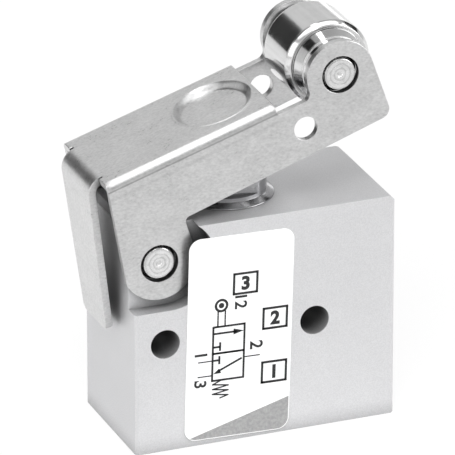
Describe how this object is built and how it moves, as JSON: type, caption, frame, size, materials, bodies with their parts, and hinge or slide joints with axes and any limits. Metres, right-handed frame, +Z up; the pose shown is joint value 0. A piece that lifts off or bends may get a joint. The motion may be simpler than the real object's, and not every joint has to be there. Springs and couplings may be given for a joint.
{
  "type": "miniature pneumatic valve",
  "caption": "Miniature normally closed 3/2 pneumatic valve with an aluminium block and a sprung plunger, worked by a sheet-steel roller lever.",
  "frame": {"origin": "middle of the block's base, under the middle of its length and thickness", "axes": "+X towards the end face with the two ports, +Y through the block along the pins, +Z up from the base towards the lever"},
  "size_m": [0.0325, 0.0151, 0.0434],
  "materials": {
    "anodised_aluminium": "satin, natural anodised",
    "zinc_plated_steel": "rolled sheet, bright zinc plated",
    "polished_steel": "ground and polished",
    "ground_steel": "ground",
    "turned_steel": "turned",
    "brass": "turned",
    "spring_steel": "drawn wire",
    "nitrile_rubber": "matt",
    "white_label": "printed film"
  },
  "bodies": {
    "valve": {"valve_block": "anodised_aluminium", "bottom_plug": "brass", "plug_o_ring": "nitrile_rubber", "seat_insert": "brass", "seat_o_ring": "nitrile_rubber", "guide_bush": "turned_steel", "bush_o_ring": "nitrile_rubber", "plunger_seal": "nitrile_rubber", "seal_washer": "turned_steel", "pivot_pin": "ground_steel", "port_label": "white_label"},
    "lever": {"roller_lever": "zinc_plated_steel", "roller_pin": "ground_steel"},
    "roller": {"roller": "polished_steel", "roller_bushes": "polished_steel"},
    "plunger": {"plunger": "turned_steel", "return_spring": "spring_steel"},
    "poppet": {"poppet": "brass", "poppet_disc": "nitrile_rubber", "poppet_spring": "spring_steel"}
  },
  "joints": [
    {"name": "lever_pivot", "type": "hinge", "parent": "valve", "child": "lever", "pos_m": [-0.01135, 0, 0.0208], "axis": [0, 1, 0], "range_deg": [0, 9.5], "stiffness_Nm_per_rad": 0.3, "springref_deg": -14.32},
    {"name": "roller_spin", "type": "hinge", "parent": "lever", "child": "roller", "pos_m": [0.00861, 0, 0.03872], "axis": [0, 1, 0], "continuous": true},
    {"name": "plunger_slide", "type": "slide", "parent": "valve", "child": "plunger", "axis": [0, 0, -1], "range_m": [0, 0.0021], "deforming": ["return_spring"]},
    {"name": "poppet_slide", "type": "slide", "parent": "valve", "child": "poppet", "axis": [0, 0, -1], "range_m": [0, 0.0011], "deforming": ["poppet_spring"]}
  ],
  "couplings": [
    {"joint": "plunger_slide", "follows": "lever_pivot", "m_per_rad": 0.0123},
    {"joint": "poppet_slide", "follows": "lever_pivot", "m_per_rad": 0.0065}
  ]
}
